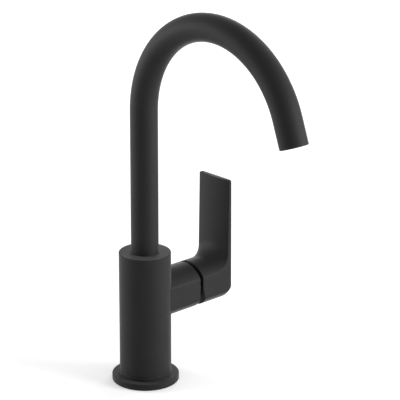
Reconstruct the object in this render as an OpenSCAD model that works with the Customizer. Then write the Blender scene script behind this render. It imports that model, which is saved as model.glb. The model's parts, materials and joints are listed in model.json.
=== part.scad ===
// Single-lever basin mixer with a tall swivel spout and a side lever.
// Millimetres. The origin is on the axis of the body at deck level.
// +Z is up, the spout reaches towards -Y and the lever stands on the +X side.

/* [Foot] */
// Diameter of the flange that stands on the deck
flange_d = 55.3; // [52:0.1:60]
// Height of the flange
flange_h = 5.2; // [4.5:0.1:6.5]
// Diameter of the neck that the body sits on
neck_d = 43; // [42.4:0.1:44]
// Height of the neck above the flange
neck_h = 3.6; // [3:0.1:5]
// Diameter of the opening for hoses and stud
foot_hole_d = 31; // [29:0.5:32]
// Height of the spigot that centres the foot in the body
spigot_h = 5; // [3:0.5:8]
// Rounding of the flange's edges
flange_round = 0.6; // [0.4:0.1:1.2]
// Width of the rubber seal under the flange
seal_w = 4; // [3:0.5:5]
// Thickness of the rubber seal
seal_h = 2; // [1.5:0.1:2.5]
// Distance of the seal from the flange's rim
seal_margin = 3; // [2.5:0.5:4]

/* [Body] */
// Diameter of the body
body_d = 42.6; // [41.8:0.1:44]
// Height of the body's top face above the deck
body_top = 111.5; // [111:0.5:125]
// Rounding of the body's top edge
body_round = 0.5; // [0.4:0.1:1.5]
// Depth of the joint line round the foot of the body
joint_round = 0.4; // [0.2:0.1:0.6]
// Diameter of the cavity for the hoses
cavity_d = 33.6; // [33:0.2:35]
// Height of the cavity's ceiling above the deck
cavity_top = 44; // [36:0.5:45]

/* [Inlets] */
// Minor diameter of the M10x1 hose threads
port_d = 9; // [8.9:0.1:9.2]
// Depth of the hose threads
port_depth = 12; // [10:0.5:13]
// Distance of the hose ports behind the body's axis
port_back = 7; // [6.5:0.25:7.5]
// Distance between the two hose ports
port_pitch = 15; // [14:0.5:16]
// Diameter of the water channels
channel_d = 6; // [5:0.25:6.5]
// Minor diameter of the M8 stud thread
stud_d = 6.8; // [6.6:0.1:7]
// Depth of the stud thread
stud_depth = 11; // [8:0.5:12]
// Distance of the stud in front of the body's axis
stud_x = 9.5; // [9:0.25:10.5]

/* [Collar] */
// Distance of the lever's axis below the body's top face
axis_drop = 40.5; // [39.6:0.1:41.5]
// Height of the collar
collar_h = 38.5; // [38.1:0.1:40]
// Radius of the arches of the collar's top and bottom
arch_r = 21.2; // [20.5:0.1:26]
// Width of the collar across its flats
collar_w = 35.9; // [35.4:0.1:37]
// Radius of the blend between the collar's flats and its arches
flat_blend = 4; // [1.5:0.25:5]
// Distance of the collar's end face from the body's axis
collar_end = 45.4; // [45.4:0.1:50]

/* [Spout] */
// Outer diameter of the spout tube
pipe_d = 22.5; // [22:0.1:22.6]
// Wall of the spout tube
pipe_wall = 1.5; // [1.3:0.1:1.8]
// Height at which the bend starts
bend_start = 231.2; // [200:1:260]
// Radius of the bend's centre line
bend_r = 81.9; // [70:0.5:95]
// Angle of the bend
bend_angle = 160; // [140:1:175]
// Straight length after the bend
outlet_len = 21.4; // [18:0.2:40]
// Rounding of the tube's rim
rim_round = 0.5; // [0.2:0.1:0.6]
// Swing of the spout to each side, in degrees
swing = 60; // [30:5:70]

/* [Spout foot] */
// Diameter of the spout's socket in the body
socket_d = 23.2; // [23.1:0.1:23.8]
// Depth of the spout's socket
socket_depth = 25; // [24.5:0.25:25.5]
// Length of tube inside the socket
tube_depth = 5; // [4.5:0.25:5.5]
// Length of the foot's spigot inside the tube
foot_spigot = 10; // [6:0.5:16]
// Bore of the spout foot
foot_bore = 12; // [9:0.5:13]
// Height of each glide ring
glide_h = 2; // [1.6:0.1:2.2]
// Thickness of the glide rings
glide_t = 1.5; // [1.2:0.1:1.7]
// Cord diameter of the spout's O-rings
oring_d = 2.2; // [1.8:0.1:2.4]
// Diameter of the swivel stop's grub screw
stop_d = 5; // [4:0.5:6]
// Diameter of the grub screw's point
point_d = 2.4; // [2:0.1:2.6]
// Depth of the grub screw's end below the body's surface
stop_recess = 2.6; // [1.5:0.1:3.5]

/* [Aerator] */
// Depth of the aerator inside the spout's rim
aerator_inset = 1; // [0.6:0.1:2]
// Length of the aerator housing
aerator_len = 13; // [12.5:0.5:16]
// Wall of the aerator housing
aerator_wall = 1; // [0.8:0.1:1.3]
// Pitch of the honeycomb outlet
comb_pitch = 2.3; // [2:0.1:3]
// Web between the honeycomb cells
comb_web = 0.5; // [0.4:0.05:0.7]
// Thickness of the honeycomb outlet
comb_h = 3; // [2:0.25:4]
// Thickness of the sieve
sieve_h = 0.8; // [0.6:0.1:1.2]
// Height of the flow regulator
regulator_h = 4; // [3:0.25:5]

/* [Cartridge] */
// Diameter of the cartridge
cartridge_d = 25; // [24.6:0.1:25.4]
// Distance of the cartridge's seat from the body's axis
seat_x = 6; // [5.5:0.1:6.5]
// Thickness of the cartridge's base
base_t = 4; // [3.5:0.1:4.5]
// Thickness of the fixed ceramic disc
fixed_t = 3; // [2.5:0.1:3.5]
// Thickness of the moving ceramic disc
moving_t = 3.4; // [3:0.1:3.8]
// Bore of the cartridge housing
chamber_d = 19.2; // [18.8:0.1:20]
// Distance of the lever's pivot from the body's axis
pivot_x = 34; // [33.5:0.1:34.5]
// Length of the stem's tail behind its pivot
tail_len = 9; // [8.5:0.1:9.2]
// Diameter of the tail's ball
ball_d = 5; // [4.6:0.1:5.2]
// Width of the stem's square
stem_w = 7.5; // [7:0.1:7.8]
// Diameter of the stem's pivot pin
pin_d = 3; // [2.5:0.1:3.4]
// Thread diameter of the cartridge nut
nut_d = 28; // [27.6:0.1:28.6]
// Length of the cartridge nut
nut_len = 6; // [5:0.25:6]
// Opening angle of the lever, in degrees
lift = 18; // [12:1:19]

/* [Lever] */
// Gap between the collar and the lever's hub
hub_gap = 3.4; // [2.8:0.1:3.8]
// Slope of the hub's lower end face, in degrees
hub_slope = 15; // [13:0.5:18]
// Distance of the lever's outer face from the body's axis
lever_out = 81.1; // [79:0.1:86]
// Height of the paddle's top above the lever's axis
paddle_h = 87.9; // [70:0.1:105]
// Thickness of the paddle's edge at its root
edge_root = 4.4; // [3.6:0.1:5.2]
// Thickness of the paddle's edge at its top
edge_top = 2.9; // [2.2:0.1:3.6]
// How much further in the paddle's outer face is at its top
paddle_lean = 0.65; // [0:0.05:1.5]
// Crown of the paddle's inner face
crown = 2.4; // [1:0.1:3]
// Radius of the fillet between hub and paddle
paddle_fillet = 13; // [9:0.5:15]
// Radius of the lever's outer lower corner
heel_r = 4.5; // [2:0.25:6]
// Radius of the paddle's top corners
tip_r = 2.2; // [1.5:0.1:4]
// Rounding of the lever's long edges
lever_round = 0.7; // [0.5:0.1:1.4]
// Wall of the hub round the dome cap
hub_wall = 3; // [2.6:0.1:3.4]
// Diameter of the lever's grub screw
grub_d = 5; // [4:0.5:6]
// Length of the lever's grub screw
grub_len = 8; // [6:0.5:9]
// Diameter of the plug that hides the grub screw
plug_d = 6.5; // [6:0.25:8]

/* [Hidden] */
$fn = 96;
eps = 0.01;
// Radial clearance of a sliding or turning fit
fit = 0.05;
// Clearance between pieces that move past each other
clear = 0.3;

// Overlap and extra radius where the straight outlet meets the bend
seam_lap = 0.05;
seam = 0.002;

matte_black = [0.13, 0.13, 0.13];
brass = [0.78, 0.62, 0.34];
steel = [0.72, 0.72, 0.74];
ceramic = [0.9, 0.89, 0.85];
acetal = [0.85, 0.86, 0.86];
rubber = [0.08, 0.08, 0.08];

// Foot and body
body_bottom = flange_h + neck_h;
axis_z = body_top - axis_drop;
cavity_r = cavity_d / 2;
spigot_r = cavity_r - fit;
seal_r = flange_d / 2 - seal_margin;
// Water ports below and above the lever's axis
inlet_drop = 4.5;
outlet_rise = 6.5;
port_bore = 4;
channel_inset = 1;
channel_z = axis_z - inlet_drop;
channel_y = port_pitch / 2 - channel_inset;
outlet_z = axis_z + outlet_rise;
port_end = cavity_top + port_depth;

// Spout foot, counted from the socket's floor
socket_floor = body_top - socket_depth;
socket_r = socket_d / 2;
tube_end = body_top - tube_depth;
pipe_r = pipe_d / 2;
pipe_bore_r = pipe_r - pipe_wall;
foot_r = socket_r - clear;
foot_floor = socket_floor + clear;
land = 1.2;
glide_low = foot_floor + land;
stop_z = glide_low + glide_h + land + point_d / 2 + clear;
oring_low = stop_z + point_d / 2 + clear + land;
oring_play = 0.3;
oring_slot = oring_d + oring_play;
oring_high = oring_low + oring_slot + land;
glide_high = oring_high + oring_slot + land;
glide_r = socket_r - fit;
groove_r = glide_r - glide_t;
oring_groove_r = socket_r - fit - oring_d;
stop_groove = 1.6;
stop_groove_r = foot_r - stop_groove;
point_len = 4;
stop_wall = 1;
point_r = stop_groove_r + clear;
// Half-width of the screw's point, seen as an angle from the spout's axis
point_half = asin(point_d / 2 / point_r) + asin(clear / point_r);

// Aerator
aerator_r = pipe_bore_r - fit;
aerator_bore_r = aerator_r - aerator_wall;
insert_r = aerator_bore_r - fit;
aerator_lip = 0.8;
aerator_ledge = 0.6;
aerator_seal_h = 1.5;
sieve_hole = 1;
// The regulator's ring groove, and the holes in its floor
regulator_rim = 1.4;
regulator_slot = 2;
regulator_hole = 1.4;
regulator_floor = 1.5;

// Cartridge, in distances along the lever's axis
cartridge_r = cartridge_d / 2;
pocket_gap = 0.1;
pocket_r = cartridge_r + pocket_gap;
chamber_r = chamber_d / 2;
disc_x = seat_x + base_t;
moving_x = disc_x + fixed_t;
carrier_x = moving_x + moving_t;
ball_x = pivot_x - tail_len;
// Travel of the moving disc, and how far it sits to one side when closed
disc_travel = tail_len * lift * PI / 180;
disc_rest = -disc_travel / 2;
disc_gap = 0.5;
disc_r = chamber_r - disc_travel / 2 - disc_gap;
disc_wall = 3;
disc_shift = 2;
carrier_t = 3.4;
boss_past = 1.4;
boss_front = ball_x + boss_past;
boss_h = 8.8;
boss_w = stem_w;
socket_hole_r = ball_d / 2 + clear;
// The stem's square starts behind its pivot pin, and its tail is thinner than the ball
square_back = 4;
square_x = pivot_x - square_back;
tail_d = ball_d - 1.6;
rotor_x = carrier_x + carrier_t + clear;
rotor_r = chamber_r - fit;
lip_past = 2.3;
lip_t = 1.7;
lip_x = pivot_x + lip_past;
housing_end = lip_x + lip_t;
journal_step = 1.4;
journal_past = 1;
journal_r = rotor_r - journal_step;
slot_w = stem_w + 2 * clear;
pin_inset = 1.2;
slot_h = 12.4;
flange_t = 2.8;
nut_lap = 2;
flange_x = housing_end - nut_lap - flange_t;
shoulder_x = housing_end - nut_lap;
collar_bore_r = nut_d / 2 + fit;
nut_r = nut_d / 2;
nut_hold = 1.2;
nut_bore_r = cartridge_r - nut_hold;
nut_gap = 0.2;
notch_w = 4;
notch_h = 2;
notch_t = 1;
port_seal_d = 1.2;

// Dome cap, a slice of a sphere round the pivot
hub_x = collar_end + hub_gap;
hub_bore_r = collar_w / 2 - hub_wall;
dome_r = norm([hub_x - pivot_x, hub_bore_r]) - clear;
dome_t = 1.6;
// The mouth lets the stem swing. It is measured where the stem leaves the dome's inside.
mouth_gap = 0.8;
dome_mouth_r = (dome_r - dome_t) * tan(lift) + stem_w / 2 / cos(lift) + mouth_gap;
skirt_x = shoulder_x + nut_len + clear;

// Section of collar and hub
half_h = collar_h / 2;
half_w = collar_w / 2;
// Distance of the arches' centres from the lever's axis
arch_shift = arch_r - half_h;
// Centre of the blend, its end on the arch, and the slope there
blend_y = half_w - flat_blend;
blend_x = sqrt(pow(arch_r - flat_blend, 2) - blend_y * blend_y) - arch_shift;
blend_end = blend_y * arch_r / (arch_r - flat_blend);
blend_slope = asin(blend_end / arch_r);

// Lever
boss_gap = 0.9;
web_t = 2;
web_reach = 5;
stem_seat = 8.5;
grub_seat = 5.5;
boss_x = pivot_x + dome_r + boss_gap;
web_x = boss_x + web_t;
stem_end = boss_x + stem_seat;
grub_x = boss_x + grub_seat;
grub_top = axis_z - stem_w / 2;
hub_bottom = axis_z - half_h;
plug_h = 3;
plug_recess = 0.2;
lever_top = axis_z + paddle_h;
crown_r = (half_w * half_w + crown * crown) / (2 * crown);
// The long edges are never rounded past the middle of the paddle's edge
side_round = min(lever_round, edge_top / 2 - 0.1);

// Places a child on the lever's axis: its own z runs along +X
module along_x(x = 0) {
  translate([x, 0, axis_z]) rotate([0, 90, 0]) children();
}

// The plane of the bend: its own x starts at the riser, and angles run round to the outlet
module in_bend() {
  translate([0, -bend_r, bend_start]) rotate([90, 0, 90]) children();
}

// Places a child at the spout's outlet: its own z runs out of the mouth
module at_outlet(depth = 0) {
  in_bend()
    rotate([0, 0, bend_angle])
      translate([bend_r, outlet_len - depth, 0]) rotate([-90, 0, 0]) children();
}

module ring(r_out, r_in, h) {
  difference() {
    cylinder(r = r_out, h = h);
    translate([0, 0, -1]) cylinder(r = r_in, h = h + 2);
  }
}

// A turned ring of round cord
module cord_ring(r, d) {
  rotate_extrude() translate([r, 0]) circle(d = d, $fn = 32);
}

// A disc or tube with its outer edges rounded
module turned(r, h, low_round, high_round) {
  rotate_extrude() {
    difference() {
      square([r, h]);
      translate([r - low_round, 0]) corner(low_round, 0);
      translate([r - high_round, h - high_round]) corner(high_round, 1);
    }
  }
}

// What a rounded corner takes off a square one
module corner(size, up) {
  difference() {
    translate([0, up ? 0 : -eps]) square([size + eps, size + eps]);
    translate([0, up ? 0 : size]) circle(r = size, $fn = 48);
  }
}

// The outline shared by collar and hub: two flats, and an arch above and below, with a blend where they meet. The
// blends are a hair larger than they should be, so that they join arches and flats cleanly.
module cushion() {
  intersection() {
    translate([arch_shift, 0]) circle(r = arch_r);
    translate([-arch_shift, 0]) circle(r = arch_r);
    union() {
      square([2 * blend_x, collar_w], center = true);
      square([2 * collar_h, 2 * blend_end], center = true);
      for (x = [-blend_x, blend_x], y = [-blend_y, blend_y])
        translate([x, y]) circle(r = flat_blend + seam);
    }
  }
}

module body() {
  color(matte_black)
    difference() {
      union() {
        translate([0, 0, body_bottom]) turned(body_d / 2, body_top - body_bottom, joint_round, body_round);
        along_x() linear_extrude(collar_end) cushion();
      }
      // Cavity for the hoses
      translate([0, 0, body_bottom - 1]) cylinder(r = cavity_r, h = cavity_top - body_bottom + 1);
      // Hose threads and the channels that lead from them to the cartridge
      for (side = [-1, 1]) {
        translate([-port_back, side * port_pitch / 2, cavity_top - 1]) cylinder(d = port_d, h = port_depth + 1);
        translate([-port_back, side * channel_y, port_end - 1]) cylinder(d = channel_d, h = channel_z - port_end + 1);
        translate([-port_back, side * channel_y, channel_z]) rotate([0, 90, 0])
          cylinder(d = channel_d, h = port_back + seat_x + 1);
        translate([-port_back, side * channel_y, channel_z]) sphere(d = channel_d);
      }
      translate([stud_x, 0, cavity_top - 1]) cylinder(d = stud_d, h = stud_depth + 1);
      // Pocket for the cartridge and its nut
      along_x(seat_x) cylinder(r = pocket_r, h = collar_end);
      along_x(flange_x) cylinder(r = collar_bore_r, h = collar_end);
      // Mixed water goes up into the spout's socket
      translate([0, 0, outlet_z]) rotate([0, 90, 0]) cylinder(d = channel_d, h = seat_x + 1);
      translate([0, 0, outlet_z]) cylinder(d = channel_d, h = socket_floor - outlet_z + 1);
      translate([0, 0, outlet_z]) sphere(d = channel_d);
      translate([0, 0, socket_floor]) cylinder(r = socket_r, h = socket_depth + 1);
      // Thread of the swivel stop's screw, at the back
      translate([0, 0, stop_z]) rotate([-90, 0, 0]) cylinder(d = stop_d + 2 * fit, h = body_d);
    }
}

module base_flange() {
  color(matte_black)
    difference() {
      union() {
        turned(flange_d / 2, flange_h, flange_round, flange_round);
        translate([0, 0, flange_h - 1]) turned(neck_d / 2, neck_h + 1, joint_round, joint_round);
        cylinder(r = spigot_r, h = body_bottom + spigot_h);
      }
      translate([0, 0, -1]) cylinder(d = foot_hole_d, h = body_bottom + spigot_h + 2);
      translate([0, 0, -1]) ring(seal_r + fit, seal_r - seal_w - fit, seal_h + 1);
    }
}

module base_seal() {
  color(rubber) ring(seal_r, seal_r - seal_w, seal_h);
}

// Riser, bend and outlet. The outlet starts inside the bend and is a hair thicker, so that they join cleanly.
module tube_path(r, extra_low, extra_high) {
  translate([0, 0, tube_end - extra_low]) cylinder(r = r, h = bend_start - tube_end + extra_low);
  in_bend() rotate_extrude(angle = bend_angle) translate([bend_r, 0]) circle(r = r);
  at_outlet(outlet_len + seam_lap) cylinder(r = r + seam, h = outlet_len + seam_lap + extra_high);
}

module spout_tube() {
  color(matte_black)
    difference() {
      tube_path(pipe_r, 0, 0);
      tube_path(pipe_bore_r, 1, 1);
      at_outlet(rim_round) rim_cutter();
    }
}

// Rounds the outer rim of the tube
module rim_cutter() {
  rotate_extrude()
    difference() {
      translate([pipe_r - rim_round, 0]) square([rim_round + 1, rim_round + 1]);
      translate([pipe_r - rim_round, 0]) circle(r = rim_round, $fn = 48);
    }
}

module spout_foot() {
  color(brass)
    difference() {
      union() {
        translate([0, 0, foot_floor]) cylinder(r = foot_r, h = tube_end - foot_floor);
        cylinder_between(pipe_bore_r - fit, tube_end, tube_end + foot_spigot);
      }
      translate([0, 0, foot_floor - 1]) cylinder(d = foot_bore, h = socket_depth + foot_spigot + 2);
      groove(glide_low, glide_h + 2 * fit, groove_r - fit);
      groove(glide_high, glide_h + 2 * fit, groove_r - fit);
      groove(oring_low, oring_slot, oring_groove_r);
      groove(oring_high, oring_slot, oring_groove_r);
      // The stop's groove ends where the spout's swing ends
      translate([0, 0, stop_z - point_d / 2 - clear])
        rotate([0, 0, 90 - swing - point_half])
          rotate_extrude(angle = 2 * (swing + point_half))
            translate([stop_groove_r, 0]) square([foot_r, point_d + 2 * clear]);
    }
}

module cylinder_between(r, low, high) {
  translate([0, 0, low]) cylinder(r = r, h = high - low);
}

module groove(z, h, r) {
  translate([0, 0, z]) ring(socket_d, r, h);
}

module spout_glide_rings() {
  color(acetal)
    for (z = [glide_low, glide_high])
      translate([0, 0, z + fit]) ring(glide_r, groove_r, glide_h);
}

module spout_orings() {
  color(rubber)
    for (z = [oring_low, oring_high])
      translate([0, 0, z + oring_slot / 2]) cord_ring(socket_r - fit - oring_d / 2, oring_d);
}

module spout_stop_screw() {
  thread_start = socket_r + stop_wall;
  thread_end = body_d / 2 - stop_recess;
  color(steel)
    translate([0, 0, stop_z]) rotate([-90, 0, 0])
      difference() {
        union() {
          translate([0, 0, point_r]) cylinder(d = point_d, h = point_len);
          translate([0, 0, thread_start]) cylinder(d = stop_d, h = thread_end - thread_start);
        }
        translate([0, 0, thread_end - stop_d / 2]) cylinder(d = stop_d / 2, h = stop_d, $fn = 6);
      }
}

module aerator_housing() {
  color(acetal)
    at_outlet(aerator_inset + aerator_len)
      difference() {
        cylinder(r = aerator_r, h = aerator_len);
        translate([0, 0, -1]) cylinder(r = aerator_bore_r, h = aerator_len - aerator_lip + 1);
        cylinder(r = aerator_bore_r - aerator_ledge, h = aerator_len + 1);
      }
}

// Seats of the inserts, counted inwards from the housing's lip
comb_seat = aerator_inset + aerator_lip;
sieve_seat = comb_seat + comb_h;
regulator_seat = sieve_seat + sieve_h;

module aerator_comb() {
  rows = ceil(insert_r / comb_pitch);
  color(acetal)
    at_outlet(comb_seat + comb_h)
      difference() {
        cylinder(r = insert_r, h = comb_h);
        for (i = [-rows:rows], j = [-rows:rows])
          let (x = comb_pitch * (i + j / 2), y = comb_pitch * j * sqrt(3) / 2)
            if (norm([x, y]) < insert_r - comb_pitch / 2 - comb_web)
              translate([x, y, -1]) rotate([0, 0, 30])
                cylinder(d = (comb_pitch - comb_web) / cos(30), h = comb_h + 2, $fn = 6);
      }
}

module aerator_sieve() {
  color(steel)
    at_outlet(sieve_seat + sieve_h)
      difference() {
        cylinder(r = insert_r, h = sieve_h);
        for (r = [insert_r / 4, insert_r / 2, insert_r * 3 / 4])
          for (a = [0:360 / round(r * 3):359])
            rotate([0, 0, a]) translate([r, 0, -1]) cylinder(d = sieve_hole, h = sieve_h + 2, $fn = 16);
      }
}

module flow_regulator() {
  slot_r = insert_r - regulator_rim;
  color(acetal)
    at_outlet(regulator_seat + regulator_h)
      difference() {
        cylinder(r = insert_r, h = regulator_h);
        translate([0, 0, -1]) ring(slot_r, slot_r - regulator_slot, regulator_h - regulator_floor + 1);
        for (a = [0:60:300])
          rotate([0, 0, a]) translate([slot_r - regulator_slot / 2, 0, -1])
            cylinder(d = regulator_hole, h = regulator_h + 2, $fn = 24);
      }
}

module aerator_seal() {
  color(rubber)
    at_outlet(aerator_inset + aerator_len + aerator_seal_h) ring(aerator_r, aerator_bore_r, aerator_seal_h);
}

// Water ports of the cartridge's base and the fixed disc
module port_holes(d, h) {
  for (side = [-1, 1])
    translate([inlet_drop, side * channel_y, 0]) cylinder(d = d, h = h);
  translate([-outlet_rise, 0, 0]) cylinder(d = d, h = h);
}

module cartridge_base() {
  color(acetal)
    along_x(seat_x)
      difference() {
        cylinder(r = cartridge_r, h = base_t);
        translate([0, 0, -1]) port_holes(port_bore, base_t + 2);
        translate([0, 0, -1]) port_holes(port_bore + 2 * port_seal_d + 2 * fit, port_seal_d + 1);
      }
}

module cartridge_seals() {
  color(rubber)
    along_x(seat_x)
      difference() {
        port_holes(port_bore + 2 * port_seal_d, port_seal_d);
        translate([0, 0, -1]) port_holes(port_bore, port_seal_d + 2);
      }
}

module fixed_disc() {
  color(ceramic)
    along_x(disc_x)
      difference() {
        cylinder(r = chamber_r - fit, h = fixed_t);
        translate([0, 0, -1]) port_holes(port_bore, fixed_t + 2);
      }
}

module moving_disc() {
  color(ceramic)
    along_x(moving_x) translate([-disc_rest, 0, 0])
      difference() {
        cylinder(r = disc_r, h = moving_t);
        translate([-disc_shift, 0, -1]) cylinder(r = disc_r - disc_wall, h = moving_t);
      }
}

module disc_carrier() {
  color(acetal)
    along_x() translate([-disc_rest, 0, 0])
      difference() {
        union() {
          translate([0, 0, carrier_x]) cylinder(r = disc_r, h = carrier_t);
          translate([-boss_h / 2, -boss_w / 2, carrier_x + carrier_t - eps])
            cube([boss_h, boss_w, boss_front - carrier_x - carrier_t + eps]);
        }
        translate([disc_rest, 0, ball_x - ball_d / 2 - 2 * fit]) cylinder(r = socket_hole_r, h = boss_front);
      }
}

module rotor() {
  color(acetal)
    along_x()
      difference() {
        union() {
          translate([0, 0, rotor_x]) cylinder(r = rotor_r, h = lip_x - fit - rotor_x);
          translate([0, 0, rotor_x]) cylinder(r = journal_r, h = housing_end + journal_past - rotor_x);
        }
        translate([-slot_h / 2, -slot_w / 2, rotor_x - 1]) cube([slot_h, slot_w, housing_end]);
        translate([0, 0, pivot_x]) rotate([90, 0, 0]) cylinder(d = pin_d, h = chamber_d, center = true);
      }
}

module stem() {
  color(brass)
    difference() {
      union() {
        along_x(square_x) translate([-stem_w / 2, -stem_w / 2, 0]) cube([stem_w, stem_w, stem_end - square_x]);
        along_x(ball_x) cylinder(d = tail_d, h = square_x - ball_x + 1);
        along_x(ball_x) sphere(d = ball_d);
      }
      translate([pivot_x, 0, axis_z]) rotate([90, 0, 0]) cylinder(d = pin_d + 2 * fit, h = chamber_d, center = true);
    }
}

module stem_pin() {
  color(steel)
    translate([pivot_x, 0, axis_z]) rotate([90, 0, 0]) cylinder(d = pin_d, h = 2 * (rotor_r - pin_inset), center = true);
}

module cartridge_housing() {
  color(acetal)
    along_x()
      difference() {
        union() {
          translate([0, 0, disc_x]) cylinder(r = cartridge_r, h = shoulder_x - disc_x);
          translate([0, 0, flange_x]) cylinder(r = nut_r - nut_gap, h = shoulder_x - flange_x);
          translate([0, 0, shoulder_x]) cylinder(r = nut_bore_r - nut_gap, h = housing_end - shoulder_x);
        }
        translate([0, 0, disc_x - 1]) cylinder(r = chamber_r, h = lip_x - disc_x + 1);
        translate([0, 0, disc_x]) cylinder(r = journal_r + fit, h = housing_end);
      }
}

module cartridge_nut() {
  color(brass)
    along_x(shoulder_x)
      difference() {
        cylinder(r = nut_r, h = nut_len);
        translate([0, 0, -1]) cylinder(r = nut_bore_r, h = nut_len + 2);
        for (a = [0:60:300])
          rotate([0, 0, a]) translate([nut_bore_r - notch_t, -notch_w / 2, nut_len - notch_h])
            cube([nut_d, notch_w, notch_h + 1]);
      }
}

module dome_cap() {
  color(matte_black)
    along_x()
      difference() {
        union() {
          intersection() {
            translate([0, 0, pivot_x]) sphere(r = dome_r, $fn = 180);
            translate([0, 0, collar_end]) cylinder(r = dome_r, h = dome_r);
          }
          translate([0, 0, skirt_x]) cylinder(r = nut_r, h = collar_end - skirt_x + 1);
        }
        intersection() {
          translate([0, 0, pivot_x]) sphere(r = dome_r - dome_t, $fn = 180);
          translate([0, 0, collar_end + dome_t]) cylinder(r = dome_r, h = dome_r);
        }
        translate([0, 0, skirt_x - 1]) cylinder(r = nut_r - dome_t, h = collar_end - skirt_x + 1 + dome_t + eps);
        translate([0, 0, collar_end]) cylinder(r = dome_mouth_r, h = dome_r);
      }
}

// How much a rounding of radius r takes off at distance t into it
function inset(t, r) = t > 0 ? r - sqrt(max(r * r - t * t, 0)) : 0;
function arc(cx, cz, r, from, to, steps) =
  [for (i = [0:steps]) let (a = from + (to - from) * i / steps) [cx + r * cos(a), cz + r * sin(a)]];
// Points between two ends, with neither end among them
function line(from, to, parts) = [for (i = [1:parts - 1]) from + (to - from) * i / parts];

// Half the hub's height at the place y across its width
function hub_half(y) =
  abs(y) <= blend_end
    ? sqrt(arch_r * arch_r - y * y) - arch_shift
    : blend_x + sqrt(max(flat_blend * flat_blend - pow(abs(y) - blend_y, 2), 0));
// The place across the hub's width where its outline has this slope
function place_at(slope) =
  sign(slope) * (abs(slope) <= blend_slope ? arch_r * sin(abs(slope)) : blend_y + flat_blend * sin(abs(slope)));

// The lever's side outline at the place y across its width
function lever_outline(y) =
  let (
    e = inset(abs(y) - (half_w - side_round), side_round),
    reach = hub_half(y),
    bulge = sqrt(crown_r * crown_r - y * y) - (crown_r - crown),
    low = axis_z - reach,
    high = axis_z + reach,
    top = lever_top - max(e, inset(abs(y) - (half_w - tip_r), tip_r)),
    out = lever_out - e,
    out_top = lever_out - paddle_lean - e,
    root = lever_out - edge_root - bulge + e,
    tip = lever_out - paddle_lean - edge_top - bulge + e,
    rim = side_round + 0.05 - e,
    fillet = paddle_fillet + e,
    heel = heel_r - e
  )
  // First along the outside from the hub's foot to the top, then along the inside, as many points again
  [
    concat(
      [[hub_x + reach * tan(hub_slope), low]],
      arc(out - heel, low + heel, heel, -90, 0, 9),
      line([out, low + heel], [out_top, top - rim], 6),
      arc(out_top - rim, top - rim, rim, 0, 90, 4)
    ),
    concat(
      [[hub_x, axis_z], [hub_x, high]],
      arc(root - fillet, high + fillet, fillet, -90, 0, 13),
      arc(tip + rim, top - rim, rim, 180, 90, 4)
    )
  ];

// Skins a row of outlines. Each is two chains of n points that start and end side by side.
module loft(ys, outlines) {
  n = len(outlines[0][0]);
  last = len(ys) - 1;
  points = [for (k = [0:last], chain = outlines[k], p = chain) [p[0], ys[k], p[1]]];
  // The place of point i, going once round outline k
  function at(k, i) = let (j = i % (2 * n)) 2 * n * k + (j < n ? j : 3 * n - 1 - j);
  sides = [
    for (k = [0:last - 1], i = [0:2 * n - 1])
      let (a = at(k, i), b = at(k, i + 1), c = at(k + 1, i), d = at(k + 1, i + 1))
        each [[a, b, c], [b, d, c]]
  ];
  caps = [
    for (end = [0, last], i = [0:n - 2])
      let (a = 2 * n * end + i, b = a + 1, c = a + n, d = c + 1)
        each end == 0 ? [[a, c, b], [b, c, d]] : [[a, b, c], [b, d, c]]
  ];
  polyhedron(points, concat(sides, caps));
}

// Slices across the width, at even steps of the hub's slope
module lever_solid() {
  steps = 32;
  ys = [for (k = [0:steps]) place_at(-90 + 180 * k / steps)];
  loft(ys, [for (y = ys) lever_outline(y)]);
}

module lever() {
  color(matte_black)
    difference() {
      lever_solid();
      // Hollow that swings over the dome cap, with the stem's boss left standing in it
      along_x(collar_end) cylinder(r = hub_bore_r, h = boss_x - collar_end);
      along_x(boss_x - 1) ring(hub_bore_r, hub_bore_r - web_reach, web_t + 1);
      along_x(boss_x - 1) translate([-stem_w / 2 - fit, -stem_w / 2 - fit, 0])
        cube([stem_w + 2 * fit, stem_w + 2 * fit, stem_end + fit - boss_x + 1]);
      translate([grub_x, 0, hub_bottom - 1]) cylinder(d = grub_d + 2 * fit, h = grub_top - hub_bottom + 1);
      translate([grub_x, 0, hub_bottom - 1]) cylinder(d = plug_d + 2 * fit, h = plug_h + 1 + fit);
    }
}

module lever_screw() {
  color(steel)
    translate([grub_x, 0, grub_top - grub_len])
      difference() {
        cylinder(d = grub_d, h = grub_len);
        translate([0, 0, -1]) cylinder(d = grub_d / 2, h = grub_len / 2, $fn = 6);
      }
}

module screw_plug() {
  color(matte_black) translate([grub_x, 0, hub_bottom + plug_recess])
    cylinder(d = plug_d, h = plug_h - plug_recess);
}

body();
base_flange();
base_seal();
spout_tube();
spout_foot();
spout_glide_rings();
spout_orings();
spout_stop_screw();
aerator_housing();
aerator_comb();
aerator_sieve();
flow_regulator();
aerator_seal();
cartridge_housing();
cartridge_base();
cartridge_seals();
fixed_disc();
moving_disc();
disc_carrier();
rotor();
stem();
stem_pin();
cartridge_nut();
dome_cap();
lever();
lever_screw();
screw_plug();
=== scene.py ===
# %% [markdown]
# This lesson dresses a basin mixer tap that already exists as a CAD model. The CAD frame says where every
# piece is and which body it moves with. The frame is loaded first.

# %% Load the frame
import json
import math
import bmesh
import bpy
from mathutils import Matrix, Vector


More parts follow.
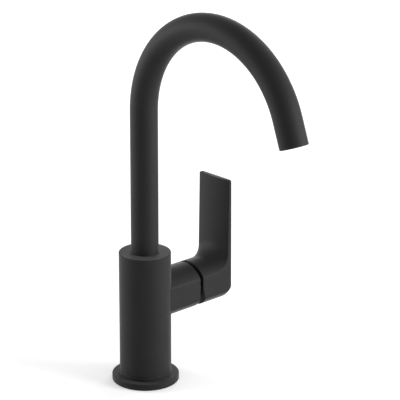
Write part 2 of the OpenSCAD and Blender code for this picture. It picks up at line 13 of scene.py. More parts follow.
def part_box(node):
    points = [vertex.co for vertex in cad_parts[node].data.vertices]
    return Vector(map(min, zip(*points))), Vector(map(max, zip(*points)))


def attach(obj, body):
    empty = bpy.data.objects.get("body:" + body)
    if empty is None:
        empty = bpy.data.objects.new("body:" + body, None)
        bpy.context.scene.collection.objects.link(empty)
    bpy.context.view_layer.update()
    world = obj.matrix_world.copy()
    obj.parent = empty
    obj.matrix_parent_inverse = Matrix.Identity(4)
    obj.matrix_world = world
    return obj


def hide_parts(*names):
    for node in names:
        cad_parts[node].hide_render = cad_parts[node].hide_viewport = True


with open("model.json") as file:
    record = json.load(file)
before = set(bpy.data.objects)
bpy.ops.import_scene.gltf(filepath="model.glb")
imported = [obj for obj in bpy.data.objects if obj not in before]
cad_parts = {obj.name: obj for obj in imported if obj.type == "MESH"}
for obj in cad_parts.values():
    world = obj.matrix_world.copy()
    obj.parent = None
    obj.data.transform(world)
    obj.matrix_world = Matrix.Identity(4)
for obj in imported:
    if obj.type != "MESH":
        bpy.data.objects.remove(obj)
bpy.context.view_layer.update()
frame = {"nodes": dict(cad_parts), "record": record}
nodes = frame["nodes"]
MM = 0.001

# %% [markdown]
# The tap was photographed from its front left and a little above, with a long lens from far away, so that
# its vertical lines stay almost parallel. A camera is placed in the same way: it looks at a point near the
# middle of the tap, from a direction given by two angles. A long focal length and a large distance keep the
# lines parallel. Moving the camera nearer with a short lens would fill the frame as well, but the spout
# would then look too big.

# %% The camera
VIEW_AZIMUTH = math.radians(-43.32)
VIEW_ELEVATION = math.radians(19.195)
VIEW_ROLL = math.radians(0.151)
VIEW_DISTANCE = 1.6565
AIM_SIDE = 0.0447
AIM_HEIGHT = 0.1560
LENS_MM = 185.08
SENSOR_MM = 36.0
SIGHT_END = 100.0
UP = Vector((0, 0, 1))


def direction(azimuth, elevation):
    """The way from the tap to a viewer or a lamp. Azimuth 0 faces the spout, 90 degrees the lever's side."""
    flat = math.cos(elevation)
    return Vector((math.sin(azimuth) * flat, -math.cos(azimuth) * flat, math.sin(elevation)))


def look_from(obj, place, back, roll=0.0):
    """Puts obj at place with its own +Z along back, as Blender's cameras and area lamps expect."""
    side = UP.cross(back).normalized()
    turn = Matrix((side, back.cross(side), back)).transposed().to_4x4()
    obj.matrix_world = Matrix.Translation(place) @ turn @ Matrix.Rotation(roll, 4, "Z")


def make_camera():
    camera_data = bpy.data.cameras.new("camera")
    camera_data.lens = LENS_MM
    camera_data.sensor_width = SENSOR_MM
    camera_data.clip_end = SIGHT_END
    camera = bpy.data.objects.new("camera", camera_data)
    bpy.context.scene.collection.objects.link(camera)
    bpy.context.scene.camera = camera
    back = direction(VIEW_AZIMUTH, VIEW_ELEVATION)
    aim = UP.cross(back).normalized() * AIM_SIDE + UP * AIM_HEIGHT
    look_from(camera, aim + back * VIEW_DISTANCE, back, VIEW_ROLL)
    return camera


camera = make_camera()
print("camera at", [round(v, 3) for v in camera.matrix_world.translation], "m")

# %% [markdown]
# A material is a small graph of nodes. Most steps below add one node, set a few of its inputs to plain
# numbers and link the others to earlier nodes. Written out line by line that hides what a finish is made
# of, so one helper does both: it links an input that is given another node's output, and sets it otherwise.

# %% Adding shader nodes
def new_material(name):
    """An empty node material and its tree."""
    material = bpy.data.materials.new(name)
    material.use_nodes = True
    material.node_tree.nodes.clear()
    return material, material.node_tree


def feed(tree, node, inputs):
    """Links or sets the named inputs of a node."""
    for key, value in inputs.items():
        if isinstance(value, bpy.types.NodeSocket):
            tree.links.new(value, node.inputs[key])
        else:
            node.inputs[key].default_value = value


def add_node(tree, kind, inputs=None):
    """Adds one shader node and feeds its inputs."""
    node = tree.nodes.new("ShaderNode" + kind)
    feed(tree, node, inputs or {})
    return node


def add_math(tree, operation, first, second):
    node = add_node(tree, "Math", {0: first, 1: second})
    node.operation = operation
    return node.outputs[0]


def seen_directly(tree):
    """A value that is 1 for camera, mirror and transmission rays, and 0 for those that light the object."""
    path = add_node(tree, "LightPath").outputs
    seen = add_math(tree, "MAXIMUM", path["Is Camera Ray"], path["Is Glossy Ray"])
    return add_math(tree, "MAXIMUM", seen, path["Is Transmission Ray"])


print("made helpers: new_material, feed, add_node, add_math, seen_directly")

# %% [markdown]
# The photograph shows the tap on plain white. Here it stands on a large sheet of white paper that lies just
# under its foot. The paper could be made white by brighter lamps, but these would also wash out the black
# coat. So the paper adds a little light of its own, for camera and mirror rays only: it reads as white, and
# the object's soft shadow stays. It adds more further out, where the lamps no longer reach, so that it
# looks even up to the horizon.

# %% The floor
FLOOR_HALF = 12.0
FLOOR_DROP = 0.3 * MM
FLOOR_WHITE = 0.86
FLOOR_GLOW = 0.3
FAR_GLOW = 0.62
GLOW_RISES = (0.4, 2.6)


def paper_material():
    material, tree = new_material("floor_paper")
    paper = add_node(tree, "BsdfDiffuse", {"Color": (FLOOR_WHITE, FLOOR_WHITE, FLOOR_WHITE, 1)})
    place = add_node(tree, "TexCoord")
    far = add_node(tree, "VectorMath", {0: place.outputs["Object"]})
    far.operation = "LENGTH"
    level = add_node(tree, "MapRange", {
        "From Min": GLOW_RISES[0],
        "From Max": GLOW_RISES[1],
        "To Min": FLOOR_GLOW,
        "To Max": FAR_GLOW,
        "Value": far.outputs["Value"],
    })
    level.interpolation_type = "SMOOTHSTEP"
    strength = add_math(tree, "MULTIPLY", seen_directly(tree), level.outputs["Result"])
    glow = add_node(tree, "Emission", {"Strength": strength})
    both = add_node(tree, "AddShader", {0: paper.outputs[0], 1: glow.outputs[0]})
    add_node(tree, "OutputMaterial", {"Surface": both.outputs[0]})
    return material


def make_floor():
    mesh = bpy.data.meshes.new("floor")
    corners = [(-1, -1), (1, -1), (1, 1), (-1, 1)]
    places = [(x * FLOOR_HALF, y * FLOOR_HALF, -FLOOR_DROP) for x, y in corners]
    mesh.from_pydata(places, [], [(0, 1, 2, 3)])
    floor = bpy.data.objects.new("floor", mesh)
    bpy.context.scene.collection.objects.link(floor)
    mesh.materials.append(paper_material())
    return floor


floor = make_floor()
print("floor:", floor.dimensions.x, "m wide,", round(FLOOR_DROP / MM, 2), "mm under the foot")

# %% [markdown]
# Behind the paper lies the world, which also lights the tap from all sides. A world at full strength would
# lift the black coat to grey, and a weak one would be a grey background. So it is plain white where it is
# seen, as the photograph's background is, and weaker as a light. A picture of a studio could stand in its
# place, but a matt coat would blur it beyond recognition.

# %% The world
WORLD_LEVEL = 0.46


def make_world():
    world = bpy.data.worlds.new("studio")
    world.use_nodes = True
    tree = world.node_tree
    tree.nodes.clear()
    level = add_node(tree, "MapRange", {"Value": seen_directly(tree), "To Min": WORLD_LEVEL, "To Max": 1.0})
    white = {"Color": (1, 1, 1, 1), "Strength": level.outputs["Result"]}
    background = add_node(tree, "Background", white)
    add_node(tree, "OutputWorld", {"Surface": background.outputs[0]})
    return world


bpy.context.scene.world = make_world()
print("world: white where it is seen, and a light of strength", WORLD_LEVEL)

# %% [markdown]
# Matt black only shows its shape through what it reflects. The tap's left and right edges are lighter than
# its front, and its rims pick up light from above. One lamp beside the camera would flatten it, and point
# lamps would give hard shadows. So large area lamps stand at both sides, behind and above.

# %% The lamps
LAMP_DISTANCE = 1.6
LAMP_SIZE = 0.8
LAMP_AIM = Vector((0, 0, 0.15))
LAMPS = {
    "left_lamp": {"azimuth": -145, "elevation": 8, "watts": 19.4},
    "right_lamp": {"azimuth": 30, "elevation": 8, "watts": 30.3},
    "rear_lamp": {"azimuth": 124, "elevation": 8, "watts": 5.3},
    "upper_lamp": {"azimuth": 90, "elevation": 40, "watts": 5.4},
}


def soft_lamp(name, azimuth, elevation, watts):
    """A square lamp that faces the tap's middle. Its angles are in degrees."""
    lamp_data = bpy.data.lights.new(name, "AREA")
    lamp_data.shape = "RECTANGLE"
    lamp_data.size = LAMP_SIZE
    lamp_data.size_y = LAMP_SIZE
    lamp_data.energy = watts
    lamp = bpy.data.objects.new(name, lamp_data)
    bpy.context.scene.collection.objects.link(lamp)
    back = direction(math.radians(azimuth), math.radians(elevation))
    look_from(lamp, LAMP_AIM + back * LAMP_DISTANCE, back)
    lamp.visible_camera = False
    return lamp


lamps = [soft_lamp(name, **lamp) for name, lamp in LAMPS.items()]
bpy.context.scene.view_settings.view_transform = "Standard"
print("lamps in watts:", [(lamp.name, round(lamp.data.energy, 1)) for lamp in lamps])

# %% [markdown]
# Nearly every real surface has the same three things: two near tones that drift into each other, a gloss
# that is not quite even, and a fine relief. They could be painted as images, but images need a flat layout
# of each piece and go soft up close. Noise in the object's own space needs none, and it has the same size
# on every piece.

# %% What a finish is made of
NOISE_LOW = 0.3
NOISE_HIGH = 0.7
CLOUD_DETAIL = 3.0
GRAIN_DETAIL = 2.0


def grey(level):
    return (level, level, level, 1)


def noise(tree, per_metre, detail, stretch):
    """Noise in the object's own space, with as many lumps to the metre as asked for."""
    place = add_node(tree, "TexCoord")
    scaled = add_node(tree, "Mapping", {"Scale": stretch, "Vector": place.outputs["Object"]})
    lumps = {"Scale": per_metre, "Detail": detail, "Vector": scaled.outputs["Vector"]}
    return add_node(tree, "TexNoise", lumps).outputs["Fac"]


def spread(tree, value, low, high):
    """Maps noise, which stays near its middle, to a range of plain numbers."""
    ends = {"From Min": NOISE_LOW, "From Max": NOISE_HIGH, "To Min": low, "To Max": high, "Value": value}
    return add_node(tree, "MapRange", ends).outputs["Result"]


def finish_of(name, dark, light, rough, cloud, grain, bump, stretch=(1, 1, 1), **sockets):
    """A finish. Cloud and grain are its lumps to the metre, bump is the grain's height in metres."""
    material, tree = new_material(name)
    wide = noise(tree, cloud, CLOUD_DETAIL, stretch)
    fine = noise(tree, grain, GRAIN_DETAIL, stretch)
    tones = add_node(tree, "Mix")
    tones.data_type = "RGBA"
    feed(tree, tones, {"A": dark, "B": light, "Factor": spread(tree, wide, 0.0, 1.0)})
    relief = add_node(tree, "Bump", {"Strength": 1.0, "Distance": bump, "Height": fine})
    surface = add_node(tree, "BsdfPrincipled", {
        "Base Color": tones.outputs["Result"],
        "Roughness": spread(tree, fine, rough[0], rough[1]),
        "Normal": relief.outputs["Normal"],
    })
    feed(tree, surface, {socket.replace("_", " "): value for socket, value in sockets.items()})
    add_node(tree, "OutputMaterial", {"Surface": surface.outputs[0]})
    return material


print("made helpers: grey, noise, spread, finish_of")

# %% [markdown]
# Body, foot, spout and lever share one finish: a fine matt black coat, baked on as powder. The powder melts
# into a skin that is almost even, with a faint grain under a quarter of a millimetre across, and it never
# gets fully flat. So the grain drives a very small bump and shifts the roughness a little, as the thickness
# of a real coat does. Seen at a low angle the grains catch more light than a smooth film would, which the
# shader's sheen imitates. A higher specular level would lighten the front as much as the edges, and in the
# photograph the edges are lighter.

# %% The black coat
COAT_DARK = 0.006
COAT_LIGHT = 0.008
COAT_ROUGH = (0.62, 0.68)
COAT_SPECULAR = 0.2
COAT_SHEEN = 0.3
SHEEN_ROUGH = 0.3
COAT_GRAIN = 0.004 * MM
GRAIN_PER_M = 4200.0
CLOUD_PER_M = 60.0

black_coat = finish_of(
    "black_coat", grey(COAT_DARK), grey(COAT_LIGHT), COAT_ROUGH, CLOUD_PER_M, GRAIN_PER_M, COAT_GRAIN,
    Specular_IOR_Level=COAT_SPECULAR, Sheen_Weight=COAT_SHEEN, Sheen_Roughness=SHEEN_ROUGH,
)
print("finish:", black_coat.name, "with", len(black_coat.node_tree.nodes), "shader nodes")

# %% [markdown]
# The other pieces get a finish each, the inner ones too, because the outlet and the underside can be looked
# into. Rubber is dark and dull, moulded plastic is smooth with a faint mottling, ceramic is pale and
# glossy, and turned brass and steel have fine rings. Rings could be a wave texture about each piece's own
# axis. A noise that is squeezed along one direction needs no such axis, and it is less regular, as tool
# marks are.

# %% Finishes of the other pieces
TOOL_MARKS = (1, 1, 12)


def moulded(name, dark, light, rough):
    return finish_of(name, dark, light, rough, cloud=120, grain=1800, bump=0.005 * MM)


def machined(name, dark, light, rough):
    return finish_of(
        name, dark, light, rough, cloud=60, grain=1500, bump=0.008 * MM, stretch=TOOL_MARKS, Metallic=1.0
    )


FINISHES = {
    "black_finish": black_coat,
    "seal_rubber": finish_of(
        "rubber", grey(0.016), grey(0.024), rough=(0.55, 0.7),
        cloud=90, grain=2500, bump=0.02 * MM, Specular_IOR_Level=0.35,
    ),
    "black_plug": finish_of(
        "plug_black", grey(0.014), grey(0.018), rough=(0.45, 0.55),
        cloud=90, grain=3200, bump=0.01 * MM, Specular_IOR_Level=0.3,
    ),
    "white_acetal": moulded("acetal_white", (0.70, 0.71, 0.70, 1), (0.77, 0.78, 0.77, 1), (0.32, 0.42)),
    "dark_acetal": moulded("acetal_dark", grey(0.045), grey(0.055), (0.35, 0.45)),
    "brass": machined("turned_brass", (0.68, 0.48, 0.21, 1), (0.76, 0.57, 0.28, 1), (0.2, 0.34)),
    "steel": machined("turned_steel", (0.55, 0.55, 0.57, 1), (0.66, 0.66, 0.68, 1), (0.22, 0.36)),
    "disc_ceramic": finish_of(
        "disc_ceramic", (0.78, 0.76, 0.70, 1), (0.86, 0.84, 0.78, 1), rough=(0.12, 0.2),
        cloud=150, grain=2200, bump=0.002 * MM,
    ),
}
print("finishes:", [finish.name for finish in FINISHES.values()])

# %% [markdown]
# Most pieces of the tap need no new mesh: the body, the foot, the dome cap and all that is inside have true
# curves in the CAD model. They could be rebuilt here, but then they might no longer fit each other. So each
# keeps its shape and only gets the finish of the material slot that the record names for it.

# %% Dressing the CAD nodes
def dress_nodes():
    for part in frame["record"]["subparts"]:
        finish = FINISHES[part["material_slot"]]
        materials = nodes[part["node"]].data.materials
        materials.clear()
        materials.append(finish)
        print("  ", part["node"], "gets", finish.name)


dress_nodes()

# %% [markdown]
# The spout is one tube: straight up, round a wide bend, and down to the mouth. Every surface of it follows
# that path. A curve with a round bevel would give the same outside in one step, but it has no wall. So the
# path is written as a function that tells, for any distance along it, where its centre is and which way it
# runs.

# %% The spout's path
PIPE_R = 11.25 * MM
PIPE_WALL = 1.5 * MM
BEND_START = 231.2 * MM
BEND_R = 81.9 * MM
BEND_ANGLE = math.radians(160)
OUTLET = 21.4 * MM

pipe_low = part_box("spout_tube")[0].z


def path_point(way):
    """Centre, outward direction and running direction at a distance from the tube's lower end."""
    riser = BEND_START - pipe_low
    bend = BEND_R * BEND_ANGLE
    if way <= riser:
        return Vector((0, 0, pipe_low + way)), Vector((0, 1, 0)), Vector((0, 0, 1))
    angle = min((way - riser) / BEND_R, BEND_ANGLE)
    out = Vector((0, math.cos(angle), math.sin(angle)))
    run = Vector((0, -math.sin(angle), math.cos(angle)))
    middle = Vector((0, -BEND_R, BEND_START)) + out * BEND_R
    return middle + run * max(0.0, way - riser - bend), out, run


PIPE_LENGTH = BEND_START - pipe_low + BEND_R * BEND_ANGLE + OUTLET
print("spout tube: length along its middle", round(PIPE_LENGTH, 4), "m")

# %% [markdown]
# Tube, lever and threads are all skins over a row of outlines. Rings of the same number of points are
# joined by four-sided faces. The row is closed to a loop for a tube with a wall, or its two ends get a cap
# each. Faces that meet at more than a set angle keep a crisp edge, and all others are shaded smooth. A
# subdivision modifier would smooth them too, but it would also shrink the shape. Here a bevel of a few
# faces already reads as a rounded edge, and every size stays true.

# %% Joining rings
CRISP = math.radians(28)


def finish_mesh(name, bm, material):
    """Turns the faces outward, marks the crisp edges and makes the object."""
    bmesh.ops.recalc_face_normals(bm, faces=bm.faces)
    for face in bm.faces:
        face.smooth = True
    for edge in bm.edges:
        edge.smooth = len(edge.link_faces) == 2 and edge.calc_face_angle() < CRISP
    mesh = bpy.data.meshes.new(name)
    bm.to_mesh(mesh)
    bm.free()
    mesh.materials.append(material)
    obj = bpy.data.objects.new(name, mesh)
    bpy.context.scene.collection.objects.link(obj)
    return obj


def join_rings(bm, rings, loop=False):
    """Skins closed rings of points, and closes the row of rings to a loop or caps its ends."""
    rows = [[bm.verts.new(point) for point in ring] for ring in rings]
    pairs = list(zip(rows, rows[1:]))
    if loop:
        pairs.append((rows[-1], rows[0]))
    for one, two in pairs:
        count = len(one)
        for i in range(count):
            j = (i + 1) % count
            bm.faces.new((one[i], one[j], two[j], two[i]))
    if not loop:
        bm.faces.new(rows[0])
        bm.faces.new(rows[-1])


print("edges sharper than", round(math.degrees(CRISP)), "degrees stay crisp")

# %% [markdown]
# The real tube is cut square, deburred and coated, so its mouth has a small rounding outside and a smaller
# one inside. A solidify modifier on the outside would give the wall, but not these two roundings. Here the
# rings run along the outside to the mouth, roll over the rim and go back along the bore.

# %% The spout
RIM_R = 0.5 * MM
BORE_RIM_R = 0.3 * MM
AROUND = 96
RISER_STEPS = 6
BEND_STEPS = 72
RIM_STEPS = 6


def round_ring(way, radius):
    middle, out, _ = path_point(way)
    across = Vector((1, 0, 0))
    turns = [2 * math.pi * i / AROUND for i in range(AROUND)]
    return [middle + out * radius * math.cos(t) + across * radius * math.sin(t) for t in turns]


def quarter(way, radius, size, start):
    """Ways and radii round a quarter circle that starts at an angle, about a centre at (way, radius)."""
    turns = [start + math.pi / 2 * i / RIM_STEPS for i in range(RIM_STEPS + 1)]
    return [(way + size * math.sin(t), radius + size * math.cos(t)) for t in turns]


def make_spout():
    bend_from = BEND_START - pipe_low
    bend_to = bend_from + BEND_R * BEND_ANGLE
    along = [0.0] + [bend_from * i / RISER_STEPS for i in range(1, RISER_STEPS)]
    along += [bend_from + (bend_to - bend_from) * i / BEND_STEPS for i in range(BEND_STEPS + 1)]
    bore = PIPE_R - PIPE_WALL
    outside = [(way, PIPE_R) for way in along]
    rim = quarter(PIPE_LENGTH - RIM_R, PIPE_R - RIM_R, RIM_R, 0)
    rim += quarter(PIPE_LENGTH - BORE_RIM_R, bore + BORE_RIM_R, BORE_RIM_R, math.pi / 2)
    inside = [(way, bore) for way in reversed(along)]
    bm = bmesh.new()
    join_rings(bm, [round_ring(way, radius) for way, radius in outside + rim + inside], loop=True)
    spout = finish_mesh("spout", bm, black_coat)
    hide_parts("spout_tube")
    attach(spout, "spout")
    return spout


spout = make_spout()
spout_top = max(v.co.z for v in spout.data.vertices)
print("spout:", len(spout.data.polygons), "faces, top at", round(spout_top, 4), "m")

# %% [markdown]
# The lever is one casting. Its hub has the collar's outline, two flat sides with a shallow arch above and
# below, and its outer end sweeps up into a thin blade. A block could be carved by booleans and bevels, but
# where arch, fillet and blade run into each other a bevel breaks. Seen from the side, each slice through
# the lever is a simple outline of lines and arcs, and only a few of its measures change from slice to
# slice: the hub's height follows the arch, the blade's inner face bulges in the middle, and all corners
# shrink near the two sides. So it is built from many slices across its width.

# %% The lever's measures
AXIS_Z = 71.0 * MM
HALF_HEIGHT = 19.25 * MM
HALF_WIDTH = 17.95 * MM
ARCH_R = 21.2 * MM
HUB_BLEND = 4.0 * MM
HUB_X = 48.8 * MM
HUB_EDGE_R = 0.35 * MM
HUB_SLOPE = math.tan(math.radians(15))
LEVER_OUT = 81.1 * MM
LEVER_TOP = 158.9 * MM
EDGE_ROOT = 4.4 * MM
EDGE_TOP = 2.9 * MM
BLADE_LEAN = 0.65 * MM
CROWN = 2.4 * MM
BLADE_FILLET = 13.0 * MM
HEEL_R = 4.5 * MM
TIP_R = 2.2 * MM
SIDE_ROUND = 0.7 * MM
LEAST_ROUND = 0.05 * MM
CROWN_R = (HALF_WIDTH ** 2 + CROWN ** 2) / (2 * CROWN)
BLEND_Y = HALF_WIDTH - HUB_BLEND
BLEND_END = BLEND_Y * ARCH_R / (ARCH_R - HUB_BLEND)


def inset(depth, radius):
    """How much a rounding takes off at a depth into it."""
    return radius - math.sqrt(max(radius ** 2 - depth ** 2, 0.0)) if depth > 0 else 0.0


def hub_half(y):
    """Half the hub's height at a place across its width: an arch that blends into the side flats."""
    shift = ARCH_R - HALF_HEIGHT
    if abs(y) <= BLEND_END:
        return math.sqrt(ARCH_R ** 2 - y ** 2) - shift
    blend_z = math.sqrt((ARCH_R - HUB_BLEND) ** 2 - BLEND_Y ** 2) - shift
    return blend_z + math.sqrt(max(HUB_BLEND ** 2 - (abs(y) - BLEND_Y) ** 2, 0.0))


print("half the hub's height:", [round(hub_half(y), 5) for y in (0, BLEND_END)], "m at middle and blend")

# %% [markdown]
# A slice is drawn with arcs and straight lines. A mesh only knows points, so both are turned into rows of
# them. An arc gives its two ends as well, and a line only the points between them: the two then follow each
# other round the outline without a point that is there twice.

# %% Points of arcs and lines
def arc(x, z, radius, start, stop, steps):
    """Points round an arc, with both ends among them. Angles are in degrees."""
    turns = [math.radians(start + (stop - start) * i / steps) for i in range(steps + 1)]
    return [(x + radius * math.cos(t), z + radius * math.sin(t)) for t in turns]


def between(first, last, parts):
    """Points that divide a line, without its ends."""
    return [
        (first[0] + (last[0] - first[0]) * i / parts, first[1] + (last[1] - first[1]) * i / parts)
        for i in range(1, parts)
    ]


quarter_arc = arc(0, 0, 1, 0, 90, 4)
print("a quarter arc in 4 steps:", [(round(x, 2), round(z, 2)) for x, z in quarter_arc])

# %% [markdown]
# Each slice has the same number of points, in the same order, so that neighbours can be skinned. Where the
# outline turns, an arc gets enough points to look round. The straight lines are divided too, because the
# skin between two slices is bent there by the crown and the arch, and long thin faces would show it.

# %% One slice of the lever
SMALL_ARC = 5
TOP_ARC = 6
HEEL_ARC = 20
FILLET_ARC = 24
HUB_PARTS = 8
SHOULDER_PARTS = 6
OUTER_PARTS = 24
INNER_PARTS = 20


def lever_slice(y):
    """The outline at y as (x, z) points, once round from the hub's lower corner."""
    off = inset(abs(y) - (HALF_WIDTH - SIDE_ROUND), SIDE_ROUND)
    half = hub_half(y)
    low = AXIS_Z - half
    high = AXIS_Z + half
    bulge = math.sqrt(CROWN_R ** 2 - y ** 2) - (CROWN_R - CROWN)
    top = LEVER_TOP - max(off, inset(abs(y) - (HALF_WIDTH - TIP_R), TIP_R))
    out = LEVER_OUT - off
    out_top = LEVER_OUT - BLADE_LEAN - off
    root = LEVER_OUT - EDGE_ROOT - bulge + off
    tip = LEVER_OUT - BLADE_LEAN - EDGE_TOP - bulge + off
    rim = SIDE_ROUND + LEAST_ROUND - off
    fillet = BLADE_FILLET + off
    heel = HEEL_R - off
    foot = (HUB_X + half * HUB_SLOPE, low)
    edge = HUB_EDGE_R
    slope = math.degrees(math.atan(HUB_SLOPE))
    foot_x = foot[0] + edge * math.tan(math.radians(45 - slope / 2))
    lower_edge = arc(foot_x, low + edge, edge, slope - 180, -90, SMALL_ARC)
    lower_edge += between((foot_x, low), (out - heel, low), HUB_PARTS)
    outer_face = arc(out - heel, low + heel, heel, -90, 0, HEEL_ARC)
    outer_face += between((out, low + heel), (out_top, top - rim), OUTER_PARTS)
    blade_top = arc(out_top - rim, top - rim, rim, 0, 90, TOP_ARC)
    blade_top += arc(tip + rim, top - rim, rim, 90, 180, TOP_ARC)
    inner_face = between((tip, top - rim), (root, high + fillet), INNER_PARTS)
    inner_face += arc(root - fillet, high + fillet, fillet, 0, -90, FILLET_ARC)
    upper_edge = between((root - fillet, high), (HUB_X + edge, high), SHOULDER_PARTS)
    upper_edge += arc(HUB_X + edge, high - edge, edge, 90, 180, SMALL_ARC)
    hub_end = between((HUB_X, high - edge), (HUB_X, AXIS_Z), HUB_PARTS)
    hub_end += [(HUB_X, AXIS_Z)] + between((HUB_X, AXIS_Z), foot, HUB_PARTS)
    return lower_edge + outer_face + blade_top + inner_face + upper_edge + hub_end


print("lever: each slice has", len(lever_slice(0)), "points")

# %% [markdown]
# The hub is hollow, so that it can swing over the dome cap, and a small grub screw in its underside clamps
# it to the stem. Such hollows could be skinned as well, but they meet the outside at odd angles. So they
# are cut with Blender's exact boolean. Each cutter is a plain turned shape or a box that is thrown away
# once it has been used, and the cut is applied, so the mesh that is handed on is the finished one.

# %% Cutting with turned shapes
def turned_tool(profile, place, axis, steps):
    """Turns a profile of (radius, height) points about an axis through place and closes both its ends."""
    axis = Vector(axis).normalized()
    side = axis.orthogonal().normalized()
    front = axis.cross(side)
    turns = [2 * math.pi * i / steps for i in range(steps)]
    rings = [
        [Vector(place) + axis * height + (side * math.cos(t) + front * math.sin(t)) * radius for t in turns]
        for radius, height in profile
    ]
    bm = bmesh.new()
    join_rings(bm, rings)
    return finish_mesh("tool", bm, black_coat)


def box_tool(low, high):
    corners = ((low[0], low[1]), (high[0], low[1]), (high[0], high[1]), (low[0], high[1]))
    bm = bmesh.new()
    join_rings(bm, [[Vector((x, y, z)) for x, y in corners] for z in (low[2], high[2])])
    return finish_mesh("tool", bm, black_coat)


def cut(obj, tools):
    """Applies one exact boolean for each tool, and removes the tools."""
    for tool in tools:
        modifier = obj.modifiers.new("cut", "BOOLEAN")
        modifier.operation = "DIFFERENCE"
        modifier.solver = "EXACT"
        modifier.object = tool
        bpy.context.view_layer.update()
        result = obj.evaluated_get(bpy.context.evaluated_depsgraph_get())
        mesh = bpy.data.meshes.new_from_object(result)
        obj.modifiers.clear()
        old = obj.data
        obj.data = mesh
        bpy.data.meshes.remove(old)
        bpy.data.objects.remove(tool)


print("made helpers: turned_tool, box_tool, cut")

# %% [markdown]
# Three hollows go into the lever: the hub's bore, which leaves a boss for the stem, the square hole for the
# stem itself, and the stepped well for grub screw and plug. Their places could be typed in, but then they
# would be wrong as soon as the CAD model changed. So they are measured on the stem and the screw, which
# have to fit in them.

# %% The lever's hollows
HUB_WALL = 3.0 * MM
HUB_BORE_R = HALF_WIDTH - HUB_WALL
GROOVE_DEPTH = 2.0 * MM
GROOVE_WIDTH = 5.0 * MM
BOSS_LENGTH = 8.5 * MM
STEM_GRIP = 0.05 * MM
PLUG_HOLE_R = 3.3 * MM
PLUG_HOLE_DEPTH = 3.05 * MM
GRUB_HOLE_R = 2.55 * MM
HOLLOW_LEAD = 5 * MM
OVERCUT = 1 * MM
HOLLOW_STEPS = 96
WELL_STEPS = 64

stem_low, stem_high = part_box("stem")
grub_low, grub_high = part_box("lever_screw")
boss_x = stem_high.x - BOSS_LENGTH
grub_x = (grub_low.x + grub_high.x) / 2


def hub_hollow():
    """The hub's bore, which goes deeper in a groove round the stem's boss."""
    start = Vector((HUB_X - HOLLOW_LEAD, 0, AXIS_Z))
    deep = boss_x - start.x
    end = deep + GROOVE_DEPTH
    boss_r = HUB_BORE_R - GROOVE_WIDTH
    profile = [(HUB_BORE_R, 0), (HUB_BORE_R, end), (boss_r, end), (boss_r, deep)]
    return turned_tool(profile, start, (1, 0, 0), HOLLOW_STEPS)


def stem_hole():
    """A square hole that is a little wider than the stem."""
    low = (boss_x - OVERCUT, stem_low.y - STEM_GRIP, stem_low.z - STEM_GRIP)
    high = (stem_high.x + STEM_GRIP, stem_high.y + STEM_GRIP, stem_high.z + STEM_GRIP)
    return box_tool(low, high)


def screw_well():
    """The well in the hub's underside: wide for the plug, then narrow for the grub screw."""
    bottom = AXIS_Z - HALF_HEIGHT - OVERCUT
    plug_top = OVERCUT + PLUG_HOLE_DEPTH
    grub_top = grub_high.z - bottom
    profile = [(PLUG_HOLE_R, 0), (PLUG_HOLE_R, plug_top), (GRUB_HOLE_R, plug_top), (GRUB_HOLE_R, grub_top)]
    return turned_tool(profile, (grub_x, 0, bottom), (0, 0, 1), WELL_STEPS)


print("hollows: the boss starts at x =", round(boss_x, 4), "m, the screw sits at x =", round(grub_x, 4), "m")

# %% [markdown]
# A real casting like this comes out of its mould solid outside and cored inside. The same order works here:
# first the skin over all slices, then the hollows. The slices lie closer where the hub's outline turns
# faster, because even steps across the width would leave flats on its small blends. The cutting makes new
# edges, so the crisp ones are marked once more on the cut mesh.

# %% The lever
SLICES = 112


def slice_places():
    """Places across the width. Each step between them turns the hub's outline by the same angle."""
    turn = math.asin(BLEND_END / ARCH_R)
    places = []
    for k in range(SLICES + 1):
        angle = math.pi * (k / SLICES - 0.5)
        if abs(angle) <= turn:
            places.append(ARCH_R * math.sin(angle))
        else:
            places.append(math.copysign(BLEND_Y + HUB_BLEND * math.sin(abs(angle)), angle))
    return places


def make_lever():
    bm = bmesh.new()
    join_rings(bm, [[Vector((x, y, z)) for x, z in lever_slice(y)] for y in slice_places()])
    casting = finish_mesh("lever_casting", bm, black_coat)
    cut(casting, [hub_hollow(), stem_hole(), screw_well()])
    bm = bmesh.new()
    bm.from_mesh(casting.data)
    bpy.data.objects.remove(casting)
    lever = finish_mesh("lever_blade", bm, black_coat)
    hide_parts("lever")
    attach(lever, "lever")
    return lever


lever = make_lever()
print("lever:", len(lever.data.polygons), "faces")

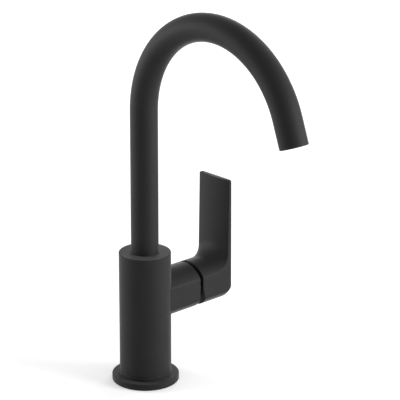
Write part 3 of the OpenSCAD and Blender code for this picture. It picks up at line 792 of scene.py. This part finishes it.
# %% [markdown]
# The hose ports and the stud hole in the hollow foot are tapped, and their threads are open to view from
# below. The bores exist already. A bump could imitate a thread, but it would vanish at the mouth, where it
# is looked at from the side. So each thread is one ridge of four-sided section that climbs round its bore
# and fades out at both ends, as a tap leaves it. It is left as bare brass, because the ports are tapped
# after the coat is baked.

# %% The threads in the foot
RIDGE_STEPS = 40
RIDGE_BURIED = 0.05 * MM
CREST_SUNK = 1.2
FLANK = 0.4
CREST = 0.08
END_TURNS = 0.5
FADE_TURNS = 0.5
THREADS = {
    "hot_hose": {"pitch": 1.0 * MM, "height": 0.3 * MM},
    "cold_hose": {"pitch": 1.0 * MM, "height": 0.3 * MM},
    "fixing_stud": {"pitch": 1.25 * MM, "height": 0.4 * MM},
}


def ridge_ring(mouth, root, crest, turn, rise, pitch):
    """The ridge's section at one turn. Its half widths at root and crest are shares of the pitch."""
    section = [(root, -FLANK), (crest, -CREST), (crest, CREST), (root, FLANK)]
    return [
        mouth + Vector((radius * math.cos(turn), radius * math.sin(turn), rise + share * pitch))
        for radius, share in section
    ]


def thread_ridge(name, mouth, radius, depth, pitch, height):
    """A ridge that climbs round a bore from its mouth upwards."""
    count = int((depth / pitch - 2 * END_TURNS) * RIDGE_STEPS)
    root = radius + RIDGE_BURIED
    rings = []
    for k in range(count + 1):
        turn = 2 * math.pi * k / RIDGE_STEPS
        rise = pitch * (END_TURNS + k / RIDGE_STEPS)
        fade = min(1.0, k / RIDGE_STEPS / FADE_TURNS, (count - k) / RIDGE_STEPS / FADE_TURNS)
        crest = root - RIDGE_BURIED * CREST_SUNK - height * fade
        rings.append(ridge_ring(mouth, root, crest, turn, rise, pitch))
    bm = bmesh.new()
    join_rings(bm, rings)
    ridge = finish_mesh(name, bm, FINISHES["brass"])
    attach(ridge, "root")
    return ridge


for mount in frame["record"]["mounts"]:
    if mount["name"] in THREADS:
        radius = mount["dims"]["r_mm"] * MM
        depth = mount["dims"]["length_mm"] * MM
        mouth = Vector(mount["pos_m"]) - Vector((0, 0, depth / 2))
        ridge = thread_ridge(mount["name"] + "_thread", mouth, radius, depth, **THREADS[mount["name"]])
        print("thread:", ridge.name, "with", len(ridge.data.polygons), "faces")
